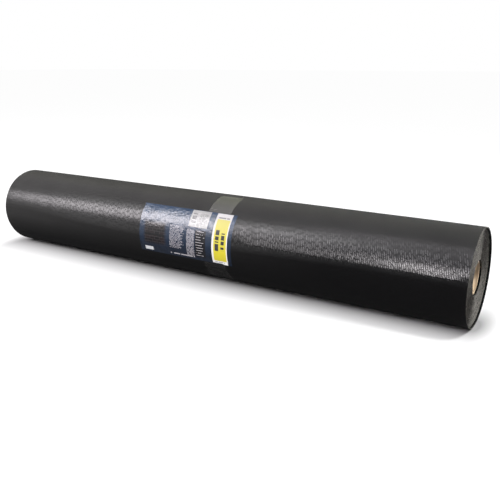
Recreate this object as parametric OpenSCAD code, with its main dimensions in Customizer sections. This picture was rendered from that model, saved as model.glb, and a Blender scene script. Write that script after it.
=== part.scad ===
// Roll of damp proof course: embossed black film wound on a cardboard tube, closed with tape and labelled.
// It lies on the floor with its axis along X. Angles round it are measured up from the horizontal on the -Y side.

/* [Film] */
// Width of the film, which is the length of the roll
film_w = 1250; // [500:10:1500]
// Length of film on the roll, in metres
film_m = 50; // [20:1:60]
// Thickness of the film
film_t = 0.5; // [0.3:0.05:0.8]
// Air that the embossing keeps between one turn and the next
emboss_gap = 0.04; // [0:0.01:0.1]
// Most that a turn wanders sideways in the winding
wander = 0.5; // [0.1:0.05:1.5]
// How far the outermost turns have slipped along the roll
outer_slip = 4.5; // [0:0.25:6]
// Number of outermost turns that have slipped
slipped_turns = 4; // [1:1:10]
// Height of the film's free edge on the roll, in degrees
free_edge = 12.5; // [0:0.5:30]

/* [Core tube] */
// Outside diameter of the tube
core_od = 70; // [50:1:90]
// Wall of the tube
core_wall = 5; // [3:0.5:8]
// Distance of each end of the tube inside the film
core_setback = 4; // [0:0.5:10]

/* [Closing tape] */
// Width of the tape
tape_w = 58; // [40:1:80]
// Length of the tape round the roll
tape_len = 246; // [200:1:280]
// Thickness of the tape
tape_t = 0.1; // [0.05:0.01:0.2]
// Middle of the tape along the roll
tape_x = 77; // [0:1:100]

/* [Label] */
// Width of the label along the roll
label_w = 260; // [180:1:300]
// Height of the label round the roll
label_h = 119; // [90:1:150]
// Thickness of the label
label_t = 0.15; // [0.08:0.01:0.3]
// Middle of the label along the roll
label_x = -4; // [-60:1:60]

/* [Sticker] */
// Width of the sticker along the roll
sticker_w = 41; // [25:1:60]
// Height of the sticker round the roll
sticker_h = 118; // [80:1:150]
// Thickness of the sticker
sticker_t = 0.15; // [0.08:0.01:0.3]
// Distance from the sticker to the label's end
sticker_margin = 10; // [0:1:30]

/* [Hidden] */
$fn = 256;
mm_per_m = 1000;
core_r = core_od / 2;
core_len = film_w - 2 * core_setback;
// The film's section on the roll is its length times its pitch, and fills the ring round the tube
pitch = film_t + emboss_gap;
roll_r = sqrt(core_r ^ 2 + film_m * mm_per_m * pitch / PI);
turns = floor((roll_r - core_r) / pitch);
turn_step = (roll_r - core_r - film_t) / (turns - 1);
// The edge of the film wanders in a long and a short wave: share of the wander, degrees from turn to turn
long_wave = [0.65, 17];
short_wave = [0.35, 101];
// Sideways shift of each turn, from the tube out
shifts = [for (i = [0 : turns - 1]) turn_wander(i) + (i < turns - slipped_turns ? 0 : outer_slip)];
last_turn = turns - 1;
// The slipped turns reach past one end only, so the roll moves back to lie middle on the origin
middle_x = -(min(shifts) + max(shifts)) / 2;
// Height of the label's face above the film
label_top = tape_t + label_t;
// The sticker's middle follows from the label's right-hand end
sticker_x = label_x + (label_w - sticker_w) / 2 - sticker_margin;

function turn_wander(i) =
    wander * (long_wave[0] * sin(long_wave[1] * i) + short_wave[0] * sin(short_wave[1] * i));

// Radius at the inside and at the outside of a turn
function inner_r(i) = core_r + i * turn_step;
function outer_r(i) = inner_r(i) + film_t;

// Edge of one turn at the end of the roll on the given side, 1 or -1, as its inner and outer corner
function turn_edge(i, side) =
    [for (r = [inner_r(i), outer_r(i)]) [r, side * film_w / 2 + shifts[i]]];

// Stands a shape drawn round the Z axis on the floor, as the roll lies, with its +X side at the free edge
module lay_down() {
    translate([middle_x, 0, roll_r]) rotate([0, 90, 0]) rotate([0, 0, 270 - free_edge]) children();
}

// Section of the roll grown by t, with the free edge on the +X axis. Two half circles on two centres
// meet at the back, and leave the step of the free edge in front.
module film_section(t) {
    half = [4 * roll_r, 2 * roll_r];
    intersection() {
        circle(roll_r + t);
        translate([-half.x / 2, 0]) square(half);
    }
    intersection() {
        translate([film_t / 2, 0]) circle(roll_r + film_t / 2 + t);
        translate([-half.x / 2, t - half.y]) square(half);
    }
}

// Slice of the section on both sides of the free edge, as long round the roll as height
module slice(height) {
    far = 2 * roll_r;
    half_arc = height / roll_r * 90 / PI;
    corner = far * [cos(half_arc), sin(half_arc)];
    polygon([[0, 0], [corner.x, -corner.y], [far, -corner.y], [far, corner.y], corner]);
}

// Sheet of thickness t that follows the film over its free edge, its underside at lift above the film
module skin(x, width, height, lift, t) {
    lay_down() translate([0, 0, x]) linear_extrude(width, center = true) difference() {
        intersection() {
            slice(height);
            film_section(lift + t);
        }
        film_section(lift);
    }
}

// Wound film: every turn is as wide as the film and shifted by its own wander, and the last has the free edge
module film_roll() {
    right_end = [for (i = [0 : last_turn - 1]) each turn_edge(i, 1)];
    left_end = [for (i = [0 : last_turn - 1]) each turn_edge(i, -1)];
    outline = concat(right_end, [for (i = [len(left_end) - 1 : -1 : 0]) left_end[i]]);
    color("#26272a") lay_down() {
        rotate_extrude() polygon(outline);
        translate([0, 0, shifts[last_turn]]) linear_extrude(film_w, center = true) difference() {
            film_section(0);
            circle(outer_r(last_turn - 1));
        }
    }
}

// Cardboard tube that the film is wound on
module core_tube() {
    color("#c9b08a") lay_down()
        rotate_extrude() translate([core_r - core_wall, -core_len / 2]) square([core_wall, core_len]);
}

// Clear tape over the free edge
module closing_tape() {
    color("#8f938a", 0.5) skin(tape_x, tape_w, tape_len, 0, tape_t);
}

// Printed label, laid over the tape
module product_label() {
    color("#2f5678") skin(label_x, label_w, label_h, tape_t, label_t);
}

// Yellow sticker with white ends, on the label
module yellow_sticker() {
    color("#f2e23c") skin(sticker_x, sticker_w, sticker_h, label_top, sticker_t);
}

film_roll();
core_tube();
closing_tape();
product_label();
yellow_sticker();
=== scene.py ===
"""Roll of damp proof course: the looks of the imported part.

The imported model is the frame, and every piece here is a numpy surface in the same place: the wound film,
its cardboard tube, the clear closing tape, the printed label and the yellow sticker.
Lengths are in metres, and names that end in _MM are in millimetres. Angles round the roll are measured up
from the horizontal on the -Y side, in radians. In the materials, places along and round the roll are in
millimetres.
"""
import math
from types import SimpleNamespace

import bpy
import numpy as np
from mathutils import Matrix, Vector


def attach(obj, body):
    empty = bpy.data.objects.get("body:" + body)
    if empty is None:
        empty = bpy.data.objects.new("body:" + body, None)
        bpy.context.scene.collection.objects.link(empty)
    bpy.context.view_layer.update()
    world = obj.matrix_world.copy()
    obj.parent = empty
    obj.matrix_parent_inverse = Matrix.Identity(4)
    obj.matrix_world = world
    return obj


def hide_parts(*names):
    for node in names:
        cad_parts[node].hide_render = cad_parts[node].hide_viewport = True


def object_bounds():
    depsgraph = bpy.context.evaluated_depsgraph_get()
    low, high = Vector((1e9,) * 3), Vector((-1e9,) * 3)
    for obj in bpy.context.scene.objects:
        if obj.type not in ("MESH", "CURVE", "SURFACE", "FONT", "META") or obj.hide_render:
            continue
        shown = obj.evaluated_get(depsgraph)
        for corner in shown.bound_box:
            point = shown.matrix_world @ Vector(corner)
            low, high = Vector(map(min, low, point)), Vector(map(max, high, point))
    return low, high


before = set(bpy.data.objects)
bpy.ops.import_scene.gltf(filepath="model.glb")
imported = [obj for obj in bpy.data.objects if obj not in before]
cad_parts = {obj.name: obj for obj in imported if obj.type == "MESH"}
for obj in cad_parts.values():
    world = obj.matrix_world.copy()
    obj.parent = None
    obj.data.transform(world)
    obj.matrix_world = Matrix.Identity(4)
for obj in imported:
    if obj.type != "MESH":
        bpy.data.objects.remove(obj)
cad_low, cad_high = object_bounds()

MM = 0.001
SEED = 41

# Wound film, with the values of the part's source
FILM_WIDTH = 1250 * MM
FILM_LENGTH = 50.0
FILM_T = 0.5 * MM
EMBOSS_GAP = 0.04 * MM
WANDER = 0.5 * MM
LONG_WAVE = (0.65, math.radians(17))
SHORT_WAVE = (0.35, math.radians(101))
OUTER_SLIP = 4.5 * MM
SLIPPED_TURNS = 4
FREE_EDGE = math.radians(12.5)
CORE_R = 35 * MM
CORE_WALL = 5 * MM
CORE_SETBACK = 4 * MM
PITCH = FILM_T + EMBOSS_GAP
ROLL_R = math.sqrt(CORE_R**2 + FILM_LENGTH * PITCH / math.pi)
TURNS = math.floor((ROLL_R - CORE_R) / PITCH)
TURN_STEP = (ROLL_R - CORE_R - FILM_T) / (TURNS - 1)
GIRTH_MM = 2 * math.pi * ROLL_R / MM

# Sheets stuck on the film: middle along the film, width along it, height round it, lift of the underside
# above the film, and thickness
TAPE = dict(x=77 * MM, width=58 * MM, height=246 * MM, lift=0, t=0.1 * MM)
LABEL = dict(x=-4 * MM, width=260 * MM, height=119 * MM, lift=0.1 * MM, t=0.15 * MM)
STICKER = dict(x=95.5 * MM, width=41 * MM, height=118 * MM, lift=0.25 * MM, t=0.15 * MM)


def smooth_step(value):
    """Rises from 0 to 1 as the value does, with a level start and end: 3 v squared less 2 v cubed."""
    v = np.clip(value, 0, 1)
    return v * v * (3 - 2 * v)


def wander_at(turn):
    """Sideways shift of the film at a turn counted from the tube: a long and a short sine wave."""
    long_part = LONG_WAVE[0] * np.sin(LONG_WAVE[1] * turn)
    short_part = SHORT_WAVE[0] * np.sin(SHORT_WAVE[1] * turn)
    return WANDER * (long_part + short_part)


whole_turns = np.arange(TURNS)
whole_shifts = wander_at(whole_turns) + np.where(whole_turns < TURNS - SLIPPED_TURNS, 0, OUTER_SLIP)
# The slipped turns reach past one end only, so the film's middle lies a little off the origin
MIDDLE_X = -(whole_shifts.min() + whole_shifts.max()) / 2


def on_roll(x, angle, radius):
    """Points at x along the roll, at an angle round it and a radius from its axis."""
    x, angle, radius = np.broadcast_arrays(x, angle, radius)
    return np.stack([x, -radius * np.cos(angle), ROLL_R + radius * np.sin(angle)], axis=-1)


def numbered(points, first=0):
    """Vertex numbers of a grid of points, counted row by row from the first."""
    rows, columns = points.shape[:2]
    return first + np.arange(rows * columns).reshape(rows, columns)


def grid_quads(ids, close_rows=False, close_columns=True):
    """Quads between neighbouring rows and columns of a grid of vertex numbers.

    With rows along the roll and columns round it, the faces point away from the axis.
    """
    if close_rows:
        ids = np.concatenate([ids, ids[:1]], axis=0)
    if close_columns:
        ids = np.concatenate([ids, ids[:, :1]], axis=1)
    corners = [ids[:-1, :-1], ids[1:, :-1], ids[1:, 1:], ids[:-1, 1:]]
    return np.stack(corners, axis=-1).reshape(-1, 4)


def add_piece(name, points, quads, materials, node, material_index=None, sharp=35, triangles=None):
    """A closed mesh from points and faces, which rides on the roll and stands for one node of the frame.

    It is shaded smooth, apart from edges that turn by more than the given degrees.
    """
    mesh = bpy.data.meshes.new(name)
    faces = quads.tolist() + ([] if triangles is None else triangles.tolist())
    mesh.from_pydata(points.reshape(-1, 3).tolist(), [], faces)
    for material in materials:
        mesh.materials.append(material)
    if material_index is not None:
        mesh.polygons.foreach_set("material_index", material_index.astype(np.int32))
    mesh.polygons.foreach_set("use_smooth", np.ones(len(faces), dtype=bool))
    mesh.set_sharp_from_angle(angle=math.radians(sharp))
    mesh.update()
    piece = bpy.data.objects.new(name, mesh)
    bpy.context.scene.collection.objects.link(piece)
    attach(piece, "root")
    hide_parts(node)


# Wound film

# Slack in the outermost turn: depth, waves along the roll per metre, waves round it, phase
SLACK = (
    (0.10 * MM, 2.3, 2, 0.4),
    (0.08 * MM, 5.1, 3, 2.1),
    (0.05 * MM, 9.7, 5, 4.0),
    (0.03 * MM, 17.0, 9, 1.3),
)
# Share of the slack that is left where the roll rests, and the height above the axis, as a share of the
# radius, from which it is full
LEAST_SLACK = 0.15
FULL_SLACK_FROM = 0.2
# The skin lies this much inside the part's solid
SKIN_INSET = 0.03 * MM
# Width of the lip that stands off along the free edge, and how far it does right and left of the label
LIP_W = 19 * MM
LIP_RIGHT = 1.5 * MM
LIP_LEFT = 0.45 * MM
# Where the lip starts right and left of the label, and how far along the film it takes to stand off in full
RIGHT_START_MM = 127
RIGHT_RISE_MM = 60
LEFT_START_MM = -137
LEFT_RISE_MM = 90
# Distance from both ends in which the lip comes down again, and the share of it that comes and goes
LIP_END_MM = 12
LIP_UNEVEN = 0.22
# Share of a turn in which the outermost turns slip, and depth of the nicks in the film's cut edge
SLIP_TURN = 0.2
NICK = 0.03 * MM
# How far the corners of a cut edge stand back from its crest
EDGE_ROUND = 0.24 * MM
# Distance in which stuck paper comes down from the free edge to the turn below
DRAPE = 2.5 * MM
# Rows of points along the skin and along the bore
SKIN_ROWS = 161
BORE_ROWS = 13


def slack_at(x, angle):
    """Depth of the slack in the outermost turn: a sum of slanted waves, least where the roll rests."""
    waves = [d * (1 + np.sin(2 * np.pi * w * x + n * angle + p)) / 2 for d, w, n, p in SLACK]
    raised = smooth_step((np.sin(angle) + 1) / (1 + FULL_SLACK_FROM))
    return SKIN_INSET + sum(waves) * (LEAST_SLACK + (1 - LEAST_SLACK) * raised)


def lip_at(x, turned):
    """How far the lip stands off at a distance along the roll and an angle above the free edge.

    It falls to none over the lip's width, with the square of what is left of it, and comes and goes along
    the edge with the product of two sines. Label and tape hold it down, and both ends are tight.
    """
    from_middle = (x - MIDDLE_X) / MM
    right = smooth_step((from_middle - RIGHT_START_MM) / RIGHT_RISE_MM) * LIP_RIGHT
    left = smooth_step((LEFT_START_MM - from_middle) / LEFT_RISE_MM) * LIP_LEFT
    uneven = 1 - LIP_UNEVEN + LIP_UNEVEN * np.sin(from_middle / 37 + 0.6) * np.sin(from_middle / 61 + 1.9)
    held_ends = smooth_step((FILM_WIDTH / 2 / MM - np.abs(from_middle)) / LIP_END_MM)
    reach = np.clip(1 - turned * ROLL_R / LIP_W, 0, 1)
    return (right + left) * uneven * held_ends * reach**2


def step_at(turned, height):
    """Height of a turn over the circle below it: a half cosine from the edge to none at the back."""
    return np.where(turned < np.pi, height / 2 * (1 + np.cos(turned)), 0)


def film_face(x, angle):
    """Radius of the film under stuck paper, which bridges the step of the free edge with a short ramp."""
    turned = np.mod(angle - FREE_EDGE, 2 * np.pi)
    below = np.mod(FREE_EDGE - angle, 2 * np.pi) * ROLL_R
    ramp = FILM_T * (1 - smooth_step(below / DRAPE))
    return ROLL_R + np.maximum(step_at(turned, FILM_T), ramp) - slack_at(x, angle)


def film_spiral():
    """The film's section: a spiral from the free edge inwards, its points closest together at that edge.

    Every turn starts one step higher than it ends and comes down over half a turn. Wander, slip and nicks
    shift the film's cut edge at both ends of the roll, and its crest stays inside the part's box.
    """
    # Degrees round a turn from the free edge, in fine steps near the edge and wide ones elsewhere
    near_edge = np.linspace(0, 14, 17)[:-1]
    round_roll = np.linspace(14, 348, 61)[:-1]
    under_edge = np.linspace(348, 360, 7)[:-1]
    round_turn = np.radians(np.concatenate([near_edge, round_roll, under_edge]))
    steps = len(round_turn)
    count = np.arange(TURNS * steps + 1)
    layer = count // steps
    turned = round_turn[count % steps]
    height = np.where(layer == 0, FILM_T, TURN_STEP)
    outer = ROLL_R - layer * TURN_STEP + step_at(turned, height)
    turn = TURNS - layer - turned / (2 * np.pi)
    slipped = smooth_step((turn - (TURNS - SLIPPED_TURNS) + SLIP_TURN / 2) / SLIP_TURN)
    nicks = np.random.default_rng(SEED).normal(0, NICK, len(count))
    shift = wander_at(turn - 0.5) + slipped * OUTER_SLIP + nicks
    far_crest = np.maximum(MIDDLE_X - FILM_WIDTH / 2 + shift, cad_low.x)
    near_crest = np.minimum(MIDDLE_X + FILM_WIDTH / 2 + shift, cad_high.x)
    return SimpleNamespace(
        steps=steps,
        last=TURNS * steps,
        lip_steps=int(np.searchsorted(round_turn, LIP_W / ROLL_R)),
        turned=turned,
        angle=FREE_EDGE + turned,
        outer=outer,
        inner=outer - FILM_T,
        far_crest=far_crest,
        near_crest=near_crest,
        far_x=far_crest + EDGE_ROUND,
        near_x=near_crest - EDGE_ROUND,
    )


def along_film(film, loop, rows):
    """Distances along the roll from the film's far corner to its near one, at a loop of points."""
    share = np.linspace(0, 1, rows)[:, None]
    return film.far_x[loop] + share * (film.near_x[loop] - film.far_x[loop])


def film_skin(film, over, back):
    """Grid of the skin: over the outermost turn, under its lip and back to the free edge."""
    loop = np.concatenate([over, back])
    is_under = np.arange(len(loop)) >= len(over)
    x = along_film(film, loop, SKIN_ROWS)
    radius = np.where(is_under, film.inner[loop], film.outer[loop]) - slack_at(x, film.angle[loop])
    radius = radius + np.where(loop <= film.lip_steps, lip_at(x, film.turned[loop]), 0)
    return on_roll(x, film.angle[loop], radius)


def film_bore(film):
    """Grid of the bore: over the inner side of the innermost turn and up its inner end."""
    first = film.last - film.steps
    loop = np.append(np.arange(first, film.last + 1), film.last)
    radius = np.append(film.inner[first:], film.outer[film.last])
    return on_roll(along_film(film, loop, BORE_ROWS), film.angle[loop], radius)


def film_piece(materials):
    """The wound film as one closed surface: its skin, its bore and the cut edges of all turns at both ends.

    The two corners of the film at an end belong to the skin, to the bore or to the end alone. A crest
    between them rounds each turn's edge, and a groove joins each turn to the one above it.
    """
    film = film_spiral()
    steps, last, lip_steps = film.steps, film.last, film.lip_steps
    over = np.arange(steps + lip_steps + 1)
    back = np.arange(lip_steps, -1, -1)
    skin = film_skin(film, over, back)
    bore = film_bore(film)
    skin_ids = numbered(skin)
    bore_ids = numbered(bore, skin_ids.size)
    points = [skin.reshape(-1, 3), bore.reshape(-1, 3)]
    quads = [grid_quads(skin_ids), grid_quads(bore_ids)[:, ::-1]]
    triangles = []
    is_cut = [False, False]
    used = skin_ids.size + bore_ids.size
    free_outer = np.arange(steps + lip_steps + 1, last)
    free_inner = np.arange(lip_steps + 1, last - steps)
    below = np.arange(steps + lip_steps, last)
    above = below - steps
    ends = ((0, film.far_x, film.far_crest, 1), (-1, film.near_x, film.near_crest, -1))
    for row, end_x, crest_x, facing in ends:
        outer_id = np.empty(last + 1, int)
        inner_id = np.empty(last + 1, int)
        outer_id[over] = skin_ids[row, over]
        inner_id[back] = skin_ids[row, len(over) :]
        inner_id[last - steps :] = bore_ids[row, :-1]
        outer_id[last] = bore_ids[row, -1]
        outer_id[free_outer] = used + np.arange(len(free_outer))
        inner_id[free_inner] = used + len(free_outer) + np.arange(len(free_inner))
        used += len(free_outer) + len(free_inner)
        points.append(on_roll(end_x[free_outer], film.angle[free_outer], film.outer[free_outer]))
        points.append(on_roll(end_x[free_inner], film.angle[free_inner], film.inner[free_inner]))
        corners = np.concatenate(points)
        crest = (corners[outer_id] + corners[inner_id]) / 2
        crest[:, 0] = crest_x
        points.append(crest)
        crest_id = used + np.arange(last + 1)
        used += last + 1
        inward = np.stack([inner_id[:-1], crest_id[:-1], crest_id[1:], inner_id[1:]], axis=-1)
        outward = np.stack([crest_id[:-1], outer_id[:-1], outer_id[1:], crest_id[1:]], axis=-1)
        grooves = [outer_id[below], inner_id[above], inner_id[above + 1], outer_id[below + 1]]
        grooves = np.stack(grooves, axis=-1)
        start_cap = [outer_id[0], crest_id[0], inner_id[0]]
        end_cap = [inner_id[-1], crest_id[-1], outer_id[-1]]
        triangles += [start_cap[::facing], end_cap[::facing]]
        quads += [inward[:, ::facing], outward[:, ::facing], grooves[:, ::facing]]
        is_cut += [True, True, False]
    triangles = np.array(triangles)
    is_cut = [np.full(len(q), cut) for q, cut in zip([*quads, triangles], [*is_cut, True])]
    points = np.concatenate(points)
    quads = np.concatenate(quads)
    is_cut = np.concatenate(is_cut)
    add_piece("wound_film", points, quads, materials, "film_roll", is_cut, 30, triangles)


# Cardboard tube

# Rounding of the tube's rims
RIM = 0.5 * MM
# Swell of the inner wall, and distance along the tube for one radian of its helix
SWELL = 0.12 * MM
HELIX = 19 * MM
# Points along the wall, across its end, round the quarter circle of a rim and round the tube
WALL_POINTS = 97
PLY_POINTS = 9
RIM_POINTS = 5
ROUND_POINTS = 96


def tube_piece(materials):
    """The cardboard tube: a closed profile with rounded rims, carried once round the axis.

    The inner wall swells and sinks a little along the helix in which its paper is wound.
    """
    half = FILM_WIDTH / 2 - CORE_SETBACK
    bore_r = CORE_R - CORE_WALL
    turn = np.linspace(0, np.pi / 2, RIM_POINTS)
    rim_x = half - RIM + RIM * np.sin(turn)
    rim_r = RIM * (1 - np.cos(turn))
    wall = np.linspace(-half + 2 * RIM, half - 2 * RIM, WALL_POINTS)
    ply = np.linspace(CORE_R - 2 * RIM, bore_r + 2 * RIM, PLY_POINTS)
    profile_x = np.concatenate([wall, rim_x, np.full(PLY_POINTS, half), rim_x[::-1]])
    profile_x = np.concatenate([profile_x, -profile_x])
    outside = np.concatenate([np.full(WALL_POINTS, CORE_R), CORE_R - rim_r, ply])
    inside = np.concatenate([bore_r + rim_r[::-1], np.full(WALL_POINTS, bore_r)])
    back_rim = np.concatenate([bore_r + rim_r, ply[::-1], CORE_R - rim_r[::-1]])
    profile_r = np.concatenate([outside, inside, back_rim])
    angle = np.linspace(0, 2 * np.pi, ROUND_POINTS, endpoint=False)
    helix = np.sin(profile_x[:, None] / HELIX + angle)
    in_wall = np.abs(profile_r - bore_r) < 0.1 * RIM
    radius = profile_r[:, None] + np.where(in_wall[:, None], SWELL * helix, 0)
    points = on_roll(MIDDLE_X + profile_x[:, None], angle, radius)
    quads = grid_quads(numbered(points), close_rows=True)
    add_piece("cardboard_tube", points, quads, materials, "core_tube")


# Sheets stuck on the film

# Share of half a sheet, below the free edge, that has extra rows for the ramp, and the number of its points
RAMP_SHARE = 0.06
RAMP_POINTS = 9


def stuck_sheet(name, sheet, materials, node, columns, rows, lift, end_cut):
    """A thin closed sheet stuck over the free edge.

    Its section runs up the outer face and back down the inner one, both following the film, and is carried
    along the roll. The lift of a point and the cut of its ends come from two functions of its share along
    the sheet, from -0.5 to 0.5, and up it, from -1 to 1.
    """
    along = np.linspace(-0.5, 0.5, columns)[:, None]
    low = np.linspace(-1, -RAMP_SHARE, rows // 2)
    ramp = np.linspace(-RAMP_SHARE, 0, RAMP_POINTS)[1:-1]
    high = np.linspace(0, 1, rows // 2)
    up = np.concatenate([low, ramp, high])
    half_arc = sheet["height"] / 2 / ROLL_R
    angle = FREE_EDGE + half_arc * (up + end_cut(along, up))
    x = MIDDLE_X + sheet["x"] + along * sheet["width"]
    under = film_face(x, angle) + sheet["lift"] + lift(along, up)
    outer = on_roll(x, angle, under + sheet["t"])
    inner = on_roll(x, angle, under)
    points = np.concatenate([outer, inner[:, ::-1]], axis=1)
    ids = numbered(points)
    span = len(up)
    left_cap = np.stack([ids[0, : span - 1 : -1], ids[0, :span]])
    right_cap = np.stack([ids[-1, :span], ids[-1, : span - 1 : -1]])
    caps = [grid_quads(cap, close_columns=False) for cap in (left_cap, right_cap)]
    quads = np.concatenate([grid_quads(ids), *caps])
    add_piece(name, points, quads, materials, node)


def no_cut(along, up):
    """Ends cut square."""
    return 0 * along + 0 * up


def tape_cut(along, up):
    """Ends torn a little askew on a toothed blade: a slant and fine teeth, towards each end of the tape."""
    slant = 0.012 * along
    teeth = 0.004 * np.abs(np.mod(along * 24, 1) - 0.5)
    return (slant - teeth * np.sign(up)) * smooth_step((np.abs(up) - 0.9) / 0.1)


def tape_lift(along, up):
    """The tape's two ends have come a little loose: a smooth step to each, uneven by a sine across."""
    loose = smooth_step((np.abs(up) - 0.94) / 0.06)
    return 0.35 * MM * loose * (0.6 + 0.4 * np.sin(9 * along + 2 * up))


def label_lift(along, up):
    """The label has lifted along its left side and its foot, most at the corners: a smooth step to each."""
    left = smooth_step((-0.47 - along) / 0.03) * smooth_step((np.abs(up) - 0.2) / 0.5) * 0.25
    low = smooth_step((-0.93 - up) / 0.07) * (0.2 + 0.25 * np.abs(along))
    return MM * (left + low)


def sticker_lift(along, up):
    """The sticker's lower right-hand corner has curled off: the product of two smooth steps."""
    corner = smooth_step((along - 0.1) / 0.4) * smooth_step((-0.8 - up) / 0.2)
    return 1.1 * MM * corner


# Materials


class Surface:
    """A material's node tree, with short calls for the nodes that the finishes here are made of."""

    def __init__(self, name):
        self.material = bpy.data.materials.new(name)
        self.material.use_nodes = True
        self.tree = self.material.node_tree
        self.shader = self.tree.nodes["Principled BSDF"]

    def put(self, socket, value):
        """Links a socket's value, or writes a number or colour to the socket."""
        if isinstance(value, bpy.types.NodeSocket):
            self.tree.links.new(value, socket)
        elif isinstance(value, tuple) and len(value) == 3 and socket.type == "RGBA":
            socket.default_value = (*value, 1.0)
        else:
            socket.default_value = value

    def set(self, name, value):
        """Links or writes one of the shader's own sockets."""
        self.put(self.shader.inputs[name], value)

    def calc(self, operation, *values):
        """A math node."""
        node = self.tree.nodes.new("ShaderNodeMath")
        node.operation = operation
        for socket, value in zip(node.inputs, values):
            self.put(socket, value)
        return node.outputs[0]

    def chain(self, operation, first, *others):
        """Math nodes in a row, for an operation on any number of values."""
        for other in others:
            first = self.calc(operation, first, other)
        return first

    def times(self, *values):
        """Product of the values."""
        return self.chain("MULTIPLY", *values)

    def plus(self, *values):
        """Sum of the values."""
        return self.chain("ADD", *values)

    def minus(self, value, less):
        """Difference of two values."""
        return self.calc("SUBTRACT", value, less)

    def most(self, *values):
        """Largest of the values."""
        return self.chain("MAXIMUM", *values)

    def distance(self, value, centre):
        """How far a value is from a centre, on either side of it."""
        return self.calc("ABSOLUTE", self.minus(value, centre))

    def vector(self, x, y):
        """Two numbers as a flat vector."""
        node = self.tree.nodes.new("ShaderNodeCombineXYZ")
        for socket, value in zip(node.inputs, (x, y)):
            self.put(socket, value)
        return node.outputs[0]

    def place(self):
        """Object coordinates."""
        return self.tree.nodes.new("ShaderNodeTexCoord").outputs["Object"]

    def split(self, vector):
        """The three numbers of a vector."""
        node = self.tree.nodes.new("ShaderNodeSeparateXYZ")
        self.put(node.inputs[0], vector)
        return node.outputs

    def unrolled(self):
        """Distance along the film, distance up from the free edge round it, and radius, in millimetres."""
        x, y, z = self.split(self.place())
        along = self.times(self.minus(x, float(MIDDLE_X)), 1 / MM)
        height = self.minus(z, ROLL_R)
        angle = self.calc("ARCTAN2", height, self.times(y, -1.0))
        round_roll = self.times(self.minus(angle, FREE_EDGE), ROLL_R / MM)
        square = self.plus(self.times(y, y), self.times(height, height))
        radius = self.times(self.calc("SQRT", square), 1 / MM)
        return along, round_roll, radius

    def stretched(self, x, x_share, y, y_share):
        """A flat vector of two distances, each times a share; a small one draws a noise out along it."""
        return self.vector(self.times(x, x_share), self.times(y, y_share))

    def noise(self, vector, scale, detail, roughness=0.55):
        """Noise from 0 to 1 at a scale."""
        node = self.tree.nodes.new("ShaderNodeTexNoise")
        self.put(node.inputs["Vector"], vector)
        node.inputs["Scale"].default_value = scale
        node.inputs["Detail"].default_value = detail
        node.inputs["Roughness"].default_value = roughness
        return node.outputs["Fac"]

    def chance(self, x, y):
        """A number from 0 to 1 that differs from cell to cell."""
        node = self.tree.nodes.new("ShaderNodeTexWhiteNoise")
        node.noise_dimensions = "2D"
        self.put(node.inputs["Vector"], self.vector(x, y))
        return node.outputs["Value"]

    def cell(self, value, size):
        """Number of the cell that a value lies in."""
        return self.calc("FLOOR", self.calc("DIVIDE", value, size))

    def in_cell(self, value, size):
        """Share of its cell at which a value lies."""
        return self.calc("FRACT", self.calc("DIVIDE", value, size))

    def spread(self, value, low, high, to_low=0.0, to_high=1.0):
        """Maps a range of a value to another range, held at both ends."""
        node = self.tree.nodes.new("ShaderNodeMapRange")
        for socket, number in zip(node.inputs, (value, low, high, to_low, to_high)):
            self.put(socket, number)
        return node.outputs[0]

    def blend(self, share, first, second):
        """Mixes two colours by a share."""
        node = self.tree.nodes.new("ShaderNodeMix")
        node.data_type = "RGBA"
        self.put(node.inputs[0], share)
        self.put(node.inputs[6], first)
        self.put(node.inputs[7], second)
        return node.outputs[2]

    def relief(self, height, depth, strength=1.0):
        """Bumps the surface by a height from 0 to 1 times a depth in metres."""
        node = self.tree.nodes.new("ShaderNodeBump")
        node.inputs["Strength"].default_value = strength
        node.inputs["Distance"].default_value = depth
        self.put(node.inputs["Height"], height)
        return node.outputs[0]

    def patch(self, u, v, field):
        """1 inside a rectangle of left, right, low and high side, and 0 outside."""
        left, right, low, high = field
        across = self.calc("COMPARE", u, (left + right) / 2, (right - left) / 2)
        up = self.calc("COMPARE", v, (low + high) / 2, (high - low) / 2)
        return self.times(across, up)

    def bars(self, u, v, field, letter, fill, row):
        """A row of bars in a rectangle, like words too small to read.

        Its cells are as long as a letter, a share of them is filled, and the number of the row sets which.
        """
        start = self.times(self.chance(row, 3.3), 7.0)
        cell = self.calc("FLOOR", self.plus(self.calc("DIVIDE", u, letter), start))
        filled = self.calc("LESS_THAN", self.chance(cell, row), fill)
        return self.times(filled, self.patch(u, v, field))

    def text(self, u, v, field, line, letter, ink, fill, ragged):
        """Rows of bars in a rectangle, like text too small to read.

        A line is the pitch of the rows, ink the share of it that a bar takes up, and ragged the most that a
        row falls short of the right-hand side, as a share of the rectangle's width.
        """
        left, right = field[:2]
        row = self.cell(v, line)
        bar = self.calc("COMPARE", self.in_cell(v, line), 0.5, ink / 2)
        short = self.times(self.chance(row, 8.1), ragged * (right - left))
        inside = self.calc("LESS_THAN", u, self.minus(right, short))
        return self.times(self.bars(u, v, field, letter, fill, row), bar, inside)

    def finish(self, colour, roughness, normal=None, *, specular):
        """Sets the shader's colour, roughness, normal and specular level."""
        self.set("Base Color", colour)
        self.set("Roughness", roughness)
        if normal is not None:
            self.set("Normal", normal)
        self.set("Specular IOR Level", specular)
        return self.material


# Embossed dashes: pitch of their columns along the roll, columns that a leaning dash would cross in one
# turn, how far a column sways, dashes round the roll and depth
DASH_PITCH_MM = 4.2
DASH_LEAN = 44
SWAY_MM = 3.0
DASHES_ROUND = 46
DASH_DEPTH = 0.10 * MM
# Share of a full polish on the top of a dash, and between the dashes
POLISH = 0.95
LEAST_POLISH = POLISH * 0.3
# Colours of the clean film, of the dust and painted sheen on its sides and of the dust and painted sheen on
# top
CLEAN_FILM = (0.0022, 0.0022, 0.0024)
SIDE_DUST_AND_SHEEN = (0.091, 0.091, 0.088)
TOP_DUST_AND_SHEEN = (0.096, 0.097, 0.088)


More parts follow.
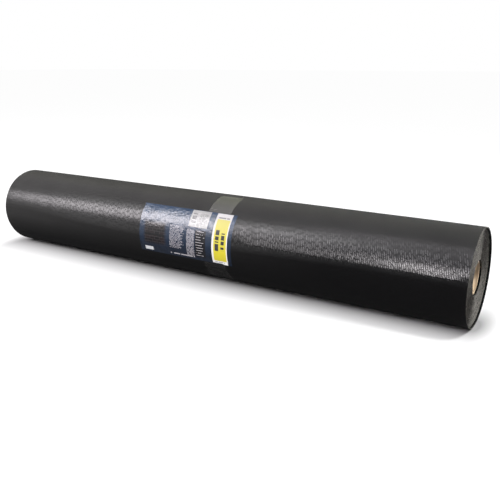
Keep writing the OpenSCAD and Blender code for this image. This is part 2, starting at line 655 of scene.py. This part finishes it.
def dash_height(s, along, round_roll):
    """Height of the embossing: swaying columns of leaning dashes, each of its own height."""
    sway_noise = s.noise(s.vector(along, round_roll), 0.06, 2.0)
    sway = s.times(s.minus(sway_noise, 0.5), SWAY_MM / DASH_PITCH_MM)
    lean = s.times(round_roll, DASH_LEAN / GIRTH_MM)
    column_place = s.plus(s.calc("DIVIDE", along, DASH_PITCH_MM), lean, sway)
    column = s.calc("FLOOR", column_place)
    dash_place = s.plus(s.times(round_roll, DASHES_ROUND / GIRTH_MM), s.chance(column, 5.0))
    dash = s.calc("FLOOR", dash_place)
    across = s.calc("SINE", s.times(s.calc("FRACT", column_place), math.pi))
    up = s.calc("SINE", s.times(s.calc("FRACT", dash_place), math.pi))
    rise = s.spread(s.times(across, s.calc("SQRT", up)), 0.2, 0.8)
    of_dash = s.spread(s.chance(column, dash), 0.0, 1.0, 0.5, 1.0)
    of_column = s.spread(s.chance(column, 9.0), 0.0, 1.0, 0.6, 1.0)
    return s.times(rise, s.times(of_dash, of_column))


def embossed_film():
    """Black film with columns of embossed dashes along it, no two rows alike.

    The dashes are polished where the roll faces up and forwards. Its colour is lighter with dust and
    painted sheen on top, with a painted reflection on the flank of its far half, and with a painted
    highlight along the very top of its near half.
    """
    s = Surface("embossed_film")
    along, round_roll, _ = s.unrolled()
    height = dash_height(s, along, round_roll)
    normal = s.relief(height, DASH_DEPTH)
    facing_up = s.calc("SINE", s.plus(s.calc("DIVIDE", round_roll, ROLL_R / MM), FREE_EDGE))
    # The polish reaches lower in the middle of the roll than towards its ends, and least low at the far end
    to_ends = s.spread(s.distance(along, -60.0), 150.0, 480.0, 0.0, -0.12)
    to_far_end = s.spread(along, -600.0, -350.0, -0.05, 0.0)
    reach = s.plus(facing_up, to_ends, to_far_end)
    handled = s.times(s.spread(reach, -0.02, 0.2), s.spread(facing_up, 0.72, 0.93, 1.0, 0.0))
    polish = s.times(s.spread(height, 0.05, 0.6, LEAST_POLISH, POLISH), handled)
    s.set("Coat Weight", polish)
    s.set("Coat Normal", normal)
    s.set("Coat Roughness", 0.25)
    # Dust and painted sheen lie on top and thin out towards the near end, and a painted highlight runs
    # along the very top of the near half
    mottle = s.spread(s.noise(s.place(), 14.0, 5.0, 0.6), 0.3, 0.7, 0.85, 1.0)
    # Painted highlight: a lighter line along the very top of the near half, where light from above catches
    # it
    ridge_highlight = s.times(s.spread(facing_up, 0.93, 0.98, 0.0, 0.12), s.spread(along, -250.0, 50.0))
    top = s.plus(s.spread(facing_up, 0.38, 0.93, 0.0, 0.9), ridge_highlight)
    top = s.times(top, s.spread(along, 60.0, 600.0, 0.65, 0.21))
    # Painted reflection: the flank below the middle of the far half is lighter, although it faces down
    flank = s.times(s.spread(facing_up, -0.6, -0.05, 0.0, 0.235), s.spread(along, -600.0, 350.0, 1.0, 0.0))
    dust_and_sheen_share = s.times(s.most(top, flank), mottle)
    # Greyer colour where the film faces up and on the far flank: dust with painted sheen and painted
    # reflection
    dust = s.blend(s.spread(facing_up, 0.85, 0.97), SIDE_DUST_AND_SHEEN, TOP_DUST_AND_SHEEN)
    colour = s.blend(dust_and_sheen_share, CLEAN_FILM, dust)
    return s.finish(colour, 0.7, normal, specular=0.05)


# Colours of the film's cut edges, clean and dusty
CLEAN_EDGE = (0.020, 0.019, 0.018)
DUSTY_EDGE = (0.172, 0.164, 0.148)


def film_edges():
    """Cut edges of the turns: some greyer than others, and streaked along by knife and dust."""
    s = Surface("film_edges")
    _, round_roll, radius = s.unrolled()
    turns = s.noise(s.stretched(radius, 1.0, round_roll, 0.003), 0.7, 3.0, 0.6)
    fine = s.noise(s.stretched(radius, 2.0, round_roll, 0.05), 1.0, 2.0)
    streaks = s.noise(s.stretched(radius, 0.55, round_roll, 0.07), 1.0, 4.0, 0.7)
    specks = s.noise(s.place(), 230.0, 3.0, 0.7)
    tone = s.plus(s.times(turns, 0.5), s.times(fine, 0.3), s.times(streaks, 0.7), s.times(specks, 0.6))
    colour = s.blend(s.spread(tone, 0.86, 1.24), CLEAN_EDGE, DUSTY_EDGE)
    return s.finish(colour, 0.8, specular=0.08)


# Colours of the cardboard, of its seam and of the painted shade inside its mouths
DARK_BOARD = (0.55, 0.40, 0.245)
PALE_BOARD = (0.80, 0.65, 0.46)
SEAM = (0.16, 0.10, 0.055)
MOUTH_SHADE = (0.12, 0.07, 0.035)
# Pitch of the seam's helix along the tube, and thickness of a ply
SEAM_PITCH_MM = 119.0
PLY_MM = 0.62


def cardboard():
    """Spiral-wound cardboard: pale paper with a helical seam, fibres along it, and ply lines on the ends.

    The inner wall is darker towards both mouths, which is painted shade in the recess behind the film's
    ends.
    """
    s = Surface("cardboard")
    along, round_roll, radius = s.unrolled()
    helix = s.plus(s.calc("DIVIDE", along, SEAM_PITCH_MM), s.calc("DIVIDE", round_roll, GIRTH_MM))
    seam = s.calc("COMPARE", s.calc("FRACT", helix), 0.5, 0.008)
    fibres = s.noise(s.stretched(along, 0.5, round_roll, 0.09), 1.0, 5.0, 0.65)
    mottle = s.noise(s.place(), 60.0, 4.0)
    plies = s.calc("SINE", s.times(radius, 2 * math.pi / PLY_MM))
    tone = s.plus(s.times(fibres, 0.6), s.times(mottle, 0.4), s.times(plies, 0.05))
    colour = s.blend(s.spread(tone, 0.3, 0.7), DARK_BOARD, PALE_BOARD)
    colour = s.blend(s.times(seam, 0.6), colour, SEAM)
    mouth = (FILM_WIDTH / 2 - CORE_SETBACK) / MM
    bore_r = (CORE_R - CORE_WALL) / MM
    # Painted shade: the inner wall darkens towards each mouth, in the recess behind the film's ends
    mouth_shade = s.spread(s.calc("ABSOLUTE", along), mouth - 9.0, mouth - 1.0, 0.0, 0.7)
    on_wall = s.spread(radius, bore_r + 0.6, bore_r + 1.2, 1.0, 0.0)
    colour = s.blend(s.times(mouth_shade, on_wall), colour, MOUTH_SHADE)
    normal = s.relief(s.minus(fibres, s.times(seam, 0.8)), 0.2 * MM, 0.7)
    return s.finish(colour, 0.85, normal, specular=0.25)


# Colours of the tape in front, of the tape on top and of its stretch lines
FRONT_TAPE = (0.195, 0.195, 0.187)
TOP_TAPE = (0.20, 0.212, 0.155)
STRETCHED_TAPE = (0.48, 0.48, 0.44)


def clear_tape():
    """Clear packing tape with a milky tint, fine stretch lines along it and a pale rim.

    Dust tints it where it faces up, and it is fainter towards the underside, which is painted shade.
    """
    s = Surface("clear_tape")
    along, round_roll, _ = s.unrolled()
    lines = s.noise(s.stretched(along, 0.9, round_roll, 0.03), 1.0, 4.0)
    creases = s.noise(s.stretched(along, 0.03, round_roll, 0.12), 1.0, 3.0)
    half_width = TAPE["width"] / MM / 2
    half_height = TAPE["height"] / MM / 2
    side = s.spread(s.distance(along, TAPE["x"] / MM), half_width - 3.5, half_width - 0.5)
    end = s.spread(s.calc("ABSOLUTE", round_roll), half_height - 16.0, half_height - 3.0)
    rim = s.most(side, end)
    colour = s.blend(s.spread(round_roll, 70.0, 105.0), FRONT_TAPE, TOP_TAPE)
    colour = s.blend(s.spread(lines, 0.3, 0.7, 0.0, 0.3), colour, STRETCHED_TAPE)
    cover = s.plus(s.spread(lines, 0.3, 0.7, 0.20, 0.26), s.times(rim, 0.14))
    # Painted shade: the milky tape fades to nearly clear towards the underside, so it shows darker there
    s.set("Alpha", s.times(cover, s.spread(round_roll, -10.0, 70.0, 0.12, 1.0)))
    roughness = s.spread(lines, 0.3, 0.7, 0.26, 0.36)
    normal = s.relief(s.plus(creases, s.times(lines, 0.1)), 0.3 * MM, 0.6)
    return s.finish(colour, roughness, normal, specular=0.3)


# Fields of the label's print, from its middle: left, right, low and high side in millimetres
PANEL = (11.0, 62.5, 18.2, 58.8)
CODE_BLOCK = (36.0, 57.0, 25.5, 51.0)
CODE_STRIPES = (16.0, 28.0, 25.5, 51.0)
WHITE_BOX = (-116.0, -92.0, -55.0, -46.0)
DARK_COLUMN = (33.0, 62.0, -50.0, 12.0)
LEFT_TEXT = (-40.0, 2.0, -38.0, 15.0)
MIDDLE_TEXT = (9.0, 31.0, -50.0, 12.0)
RIGHT_TEXT = (35.0, 60.0, -48.0, 11.0)
FOOT_LINE = (-40.0, 30.0, -54.0, -51.0)
# Picture on the label: its middle, the damp proof course in it, and the length and height of a brick
PICTURE_MIDDLE_MM = (-84.0, -10.0)
COURSE = (-120.0, -40.0, -16.5, -12.0)
BRICK_MM = (14.0, 6.5)
# Colours of the label's print, with painted shade: the navy darkens towards the foot, and the panel's white
# is darker than the box's
SHADED_FOOT_NAVY = (0.0035, 0.007, 0.015)
LIT_TOP_NAVY = (0.025, 0.049, 0.095)
CLOUD_NAVY = (0.011, 0.018, 0.035)
DARK_BRICK = (0.003, 0.003, 0.004)
PALE_BRICK = (0.014, 0.009, 0.010)
JOINT = (0.034, 0.030, 0.033)
COLUMN_BLACK = (0.006, 0.006, 0.008)
TEXT_PALE = (0.58, 0.56, 0.58)
SHADED_PANEL_WHITE = (0.315, 0.315, 0.31)
BOX_WHITE = (0.61, 0.63, 0.64)
CODE_GREY = (0.05, 0.05, 0.055)


def brick_picture(s, u, v, colour):
    """Dark picture of bricks with the damp proof course in them, fading into the colour round it."""
    length, height = BRICK_MM
    row = s.cell(v, height)
    shifted = s.plus(u, s.times(s.calc("MODULO", row, 2.0), length / 2))
    bricks = s.blend(s.chance(s.cell(shifted, length), row), DARK_BRICK, PALE_BRICK)
    level_joint = s.calc("COMPARE", s.in_cell(v, height), 0.0, 0.14)
    upright_joint = s.calc("COMPARE", s.in_cell(shifted, length), 0.0, 0.06)
    bricks = s.blend(s.most(level_joint, upright_joint), bricks, JOINT)
    bricks = s.blend(s.patch(u, v, COURSE), bricks, DARK_BRICK)
    across = s.spread(s.distance(u, PICTURE_MIDDLE_MM[0]), 27.0, 35.0, 1.0, 0.0)
    up = s.spread(s.distance(v, PICTURE_MIDDLE_MM[1]), 22.0, 31.0, 1.0, 0.0)
    return s.blend(s.times(across, up), colour, bricks)


def label_text(s, u, v, colour):
    """Bars for text: three pale columns, the last of them on black, and one line along the foot."""
    colour = s.blend(s.patch(u, v, DARK_COLUMN), colour, COLUMN_BLACK)
    left = s.text(u, v, LEFT_TEXT, line=2.6, letter=1.9, ink=0.5, fill=0.8, ragged=0.3)
    middle = s.text(u, v, MIDDLE_TEXT, line=2.2, letter=1.6, ink=0.62, fill=0.85, ragged=0.1)
    right = s.text(u, v, RIGHT_TEXT, line=6.2, letter=2.4, ink=0.2, fill=0.85, ragged=0.5)
    foot = s.bars(u, v, FOOT_LINE, letter=3.0, fill=0.75, row=-2.0)
    pale = s.most(s.times(left, 0.6), s.times(middle, 0.62), s.times(s.most(right, foot), 0.75))
    return s.blend(pale, colour, TEXT_PALE)


def code_panel(s, u, v, colour):
    """White box, and a white panel with a block of random cells and a block of random stripes."""
    # Painted shade: the panel's white is darker than the box's, to offset the stronger light on the label's
    # upper part
    colour = s.blend(s.patch(u, v, PANEL), colour, SHADED_PANEL_WHITE)
    colour = s.blend(s.patch(u, v, WHITE_BOX), colour, BOX_WHITE)
    cells = s.calc("LESS_THAN", s.chance(s.cell(u, 1.5), s.cell(v, 1.5)), 0.5)
    block = s.times(cells, s.patch(u, v, CODE_BLOCK))
    stripe = s.calc("LESS_THAN", s.chance(s.cell(v, 1.2), 2.0), 0.55)
    stripes = s.times(stripe, s.patch(u, v, CODE_STRIPES))
    return s.blend(s.plus(s.times(block, 0.45), s.times(stripes, 0.7)), colour, CODE_GREY)


def label_print():
    """Glossy navy label with plain printed fields: bars for text, code blocks and a picture of bricks."""
    s = Surface("label_print")
    along, v, _ = s.unrolled()
    u = s.minus(along, LABEL["x"] / MM)
    # Painted shade: the navy darkens from the top of the label to its foot
    colour = s.blend(s.spread(v, -45.0, 45.0), SHADED_FOOT_NAVY, LIT_TOP_NAVY)
    cloud = s.noise(s.vector(u, s.times(v, 2.0)), 0.045, 4.0)
    colour = s.blend(s.spread(cloud, 0.4, 0.7, 0.0, 0.5), colour, CLOUD_NAVY)
    colour = brick_picture(s, u, v, colour)
    colour = label_text(s, u, v, colour)
    colour = code_panel(s, u, v, colour)
    # Creases break up the gloss
    crease = s.noise(s.vector(u, s.times(v, 1.6)), 0.11, 4.0, 0.6)
    cockle = s.noise(s.vector(u, v), 0.035, 2.0)
    normal = s.relief(s.plus(cockle, s.times(crease, 0.55)), 2.4 * MM, 0.8)
    # Varnish, worn towards the foot and the right-hand side
    varnish = s.times(s.spread(v, -25.0, 26.0, 0.08, 1.0), s.spread(u, 90.0, 122.0, 1.0, 0.45))
    s.set("Coat Weight", varnish)
    s.set("Coat Normal", normal)
    s.set("Coat Roughness", 0.13)
    s.set("Coat IOR", 1.58)
    roughness = s.spread(s.noise(s.place(), 90.0, 3.0), 0.35, 0.65, 0.45, 0.6)
    return s.finish(colour, roughness, normal, specular=0.08)


# Yellow field of the sticker, from its middle: left, right, low and high side in millimetres
YELLOW_FIELD = (-15.5, 18.1, -51.0, 44.8)
# Two rows of bars that run up the sticker: low end, high end, left and right side
LEFT_BARS = (-27.0, 20.0, -11.5, -1.8)
RIGHT_BARS = (-25.0, 19.0, 4.0, 12.5)
# Rows of small bars on its white ends: left, right, low and high side
TOP_BARS = (-14.0, 15.0, 46.5, 50.0)
FOOT_BARS = (-14.0, 14.0, -55.5, -53.5)
# Colours of the sticker's print, with painted shade and sheen on its top
DEEP_YELLOW = (0.585, 0.515, 0.028)
PALE_YELLOW = (0.635, 0.56, 0.036)
PAINTED_TOP_YELLOW = (0.495, 0.45, 0.125)
FOOT_WHITE = (0.80, 0.80, 0.77)
PAINTED_TOP_WHITE = (0.51, 0.50, 0.50)
BAR_BLACK = (0.030, 0.030, 0.032)


def sticker_print():
    """Yellow sticker with white ends and sides, greyer towards the top with painted shade and sheen, and
    plain dark bars for words.
    """
    s = Surface("sticker_print")
    along, v, _ = s.unrolled()
    u = s.minus(along, STICKER["x"] / MM)
    tint = s.noise(s.vector(u, v), 0.09, 3.0)
    # Painted shade and sheen: greyer white and paler yellow towards the top, to offset the stronger light
    # there
    painted_top_tone = s.spread(v, -30.0, 45.0)
    yellow = s.blend(painted_top_tone, s.blend(tint, DEEP_YELLOW, PALE_YELLOW), PAINTED_TOP_YELLOW)
    white = s.blend(painted_top_tone, FOOT_WHITE, PAINTED_TOP_WHITE)
    colour = s.blend(s.patch(u, v, YELLOW_FIELD), white, yellow)
    left = s.bars(v, u, LEFT_BARS, letter=2.8, fill=0.8, row=-1.0)
    right = s.bars(v, u, RIGHT_BARS, letter=2.6, fill=0.8, row=0.0)
    top = s.bars(u, v, TOP_BARS, letter=2.0, fill=0.75, row=1.0)
    foot = s.bars(u, v, FOOT_BARS, letter=1.6, fill=0.7, row=-2.0)
    dark = s.most(left, right, s.times(s.most(top, foot), 0.6))
    colour = s.blend(dark, colour, BAR_BLACK)
    grain = s.noise(s.place(), 900.0, 2.0)
    cockle = s.noise(s.vector(u, v), 0.07, 3.0)
    normal = s.relief(s.plus(cockle, s.times(grain, 0.02)), 0.6 * MM, 0.6)
    s.set("Coat Weight", 0.12)
    s.set("Coat Roughness", 0.25)
    return s.finish(colour, s.spread(tint, 0.3, 0.7, 0.36, 0.48), normal, specular=0.2)


# Pieces

film_piece([embossed_film(), film_edges()])
tube_piece([cardboard()])
stuck_sheet(
    "clear_tape", TAPE, [clear_tape()], "closing_tape",
    columns=33, rows=120, lift=tape_lift, end_cut=tape_cut,
)
stuck_sheet(
    "printed_label", LABEL, [label_print()], "product_label",
    columns=105, rows=90, lift=label_lift, end_cut=no_cut,
)
stuck_sheet(
    "printed_sticker", STICKER, [sticker_print()], "yellow_sticker",
    columns=41, rows=90, lift=sticker_lift, end_cut=no_cut,
)

# Floor, light and camera

FLOOR_HALF = 40.0
FLOOR_GREY = (0.22, 0.22, 0.22)
WHITE = (1.0, 1.0, 1.0)
# Strength of the sky over the horizon
SKY_GREY = 0.14
# The painted shadow round the roll is this many times shorter past the roll's ends than beside it
END_SHORTER = 2.5
# Colours of the lamps that aren't white
ROSE = (1.0, 0.95, 0.985)
WARM_ROSE = (1.0, 0.95, 0.97)
VIOLET = (0.97, 0.93, 1.0)
# Softboxes: name, place, point that it faces, width and height, radiance, beam in degrees and colour
SOFTBOXES = (
    ("far_softbox", (-2.5, -1.4, 1.19), (-2.5, -0.08, 0.14), (0.65, 0.7), 7.2, 180, ROSE),
    ("long_softbox", (-1.62, -1.4, 1.16), (-1.62, -0.08, 0.14), (1.15, 0.76), 13.3, 180, ROSE),
    ("middle_softbox", (-0.8, -1.4, 1.32), (-0.8, -0.08, 0.14), (0.5, 0.9), 6.6, 180, ROSE),
    ("upper_softbox", (-1.5, -1.4, 2.05), (-1.5, -0.08, 0.14), (2.2, 1.0), 3.0, 180, WHITE),
    ("front_softbox", (0.12, -1.85, 0.84), (0.6, -0.08, 0.13), (0.4, 0.18), 24.0, 40, WARM_ROSE),
    ("low_softbox", (-0.6, -1.85, 0.84), (-0.2, -0.08, 0.13), (1.0, 0.18), 7.0, 180, WARM_ROSE),
    ("high_softbox", (0.18, -1.2, 1.65), (0.45, -0.05, 0.15), (1.7, 2.0), 2.1, 180, VIOLET),
    ("fill_softbox", (1.5, -1.9, 0.45), (0.0, -0.08, 0.1), (1.2, 0.8), 3.5, 28, WHITE),
    ("right_softbox", (1.62, 0.08, 1.95), (0.74, 0.0, 0.1), (0.5, 0.5), 72.0, 24, WHITE),
    ("back_softbox", (0.2, 2.0, 1.3), (0.0, 0.08, 0.12), (2.2, 0.8), 2.6, 180, WHITE),
)
# The camera's place and line of sight, and its lens on a sensor of the given width, both in millimetres
CAMERA_PLACE = (0.8450, -1.1891, 0.4925)
LINE_OF_SIGHT = (-0.50227, 0.81584, -0.28660)
LENS_MM = 45.0
SENSOR_MM = 36.0


def seen_by_eye(surface):
    """1 for the rays that show the background: from the camera, off gloss and through anything clear."""
    path = surface.tree.nodes.new("ShaderNodeLightPath")
    rays = ("Is Camera Ray", "Is Glossy Ray", "Is Transmission Ray")
    shown = surface.plus(*[path.outputs[ray] for ray in rays])
    return surface.calc("MINIMUM", shown, 1.0)


def pale_floor():
    """Pale matt floor, brighter to the eye away from the roll, to meet the white background.

    The glow to the eye fades to none close to the roll, which paints a shadow round it. The distance from
    the roll is the
    root of the sum of two squares: of the distance past its ends, which counts more, and of the distance
    beside its axis.
    """
    s = Surface("pale_floor")
    x, y, _ = s.split(s.place())
    past_end = s.most(s.minus(s.calc("ABSOLUTE", x), FILM_WIDTH / 2), 0.0)
    past_end = s.times(past_end, END_SHORTER)
    away = s.calc("SQRT", s.plus(s.times(past_end, past_end), s.times(y, y)))
    # Painted shadow: the glow is least close to the roll and grows away from it
    glow = s.plus(s.spread(away, 0.03, 0.13, 0.0, 0.74), s.spread(away, 0.13, 0.4, 0.0, 0.21))
    s.set("Emission Color", WHITE)
    s.set("Emission Strength", s.times(glow, seen_by_eye(s)))
    return s.finish(FLOOR_GREY, 0.9, specular=0.0)


def studio_floor():
    """One large square under the roll, which keeps its shadow."""
    span = np.array([-FLOOR_HALF, FLOOR_HALF])
    x, y = np.meshgrid(span, span, indexing="ij")
    points = np.stack([x, y, np.zeros_like(x)], axis=-1).reshape(-1, 3)
    mesh = bpy.data.meshes.new("studio_floor")
    mesh.from_pydata(points.tolist(), [], [[0, 2, 3, 1]])
    mesh.materials.append(pale_floor())
    floor = bpy.data.objects.new("studio_floor", mesh)
    bpy.context.scene.collection.objects.link(floor)


class Sky(Surface):
    """The world's node tree, with the same calls as a material's."""

    def __init__(self, name):
        world = bpy.data.worlds.new(name)
        world.use_nodes = True
        self.tree = world.node_tree
        self.shader = self.tree.nodes["Background"]
        bpy.context.scene.world = world


def soft_sky(above):
    """White to the eye at the horizon, behind the roll, and grey of the given strength above it."""
    s = Sky("soft_sky")
    direction = s.tree.nodes.new("ShaderNodeTexCoord").outputs["Generated"]
    _, _, z = s.split(direction)
    horizon = s.spread(z, 0.10, 0.30, 1.0 - above, 0.0)
    s.set("Color", WHITE)
    s.set("Strength", s.plus(s.times(horizon, seen_by_eye(s)), above))


def soft_lamp(name, place, aim, size, radiance, beam, tint):
    """A rectangular softbox that points at a place, with a beam in degrees.

    Its power is its radiance times its area times pi, and a narrow beam needs less by the squared sine of
    half its width.
    """
    lamp = bpy.data.lights.new(name, "AREA")
    lamp.shape = "RECTANGLE"
    lamp.size, lamp.size_y = size
    lamp.energy = radiance * size[0] * size[1] * math.pi * math.sin(math.radians(beam / 2)) ** 2
    lamp.spread = math.radians(beam)
    lamp.color = tint
    holder = bpy.data.objects.new(name, lamp)
    holder.location = place
    holder.rotation_euler = (Vector(aim) - Vector(place)).to_track_quat("-Z", "Y").to_euler()
    bpy.context.scene.collection.objects.link(holder)


def photo_camera():
    """Camera at the photograph's viewpoint, level, aimed along its line of sight."""
    data = bpy.data.cameras.new("photo_camera")
    data.lens = LENS_MM
    data.sensor_width = SENSOR_MM
    camera = bpy.data.objects.new("photo_camera", data)
    camera.location = CAMERA_PLACE
    camera.rotation_euler = Vector(LINE_OF_SIGHT).to_track_quat("-Z", "Y").to_euler()
    bpy.context.scene.collection.objects.link(camera)
    bpy.context.scene.camera = camera


studio_floor()
soft_sky(SKY_GREY)
for softbox in SOFTBOXES:
    soft_lamp(*softbox)
photo_camera()

bpy.context.scene.view_settings.view_transform = "Standard"
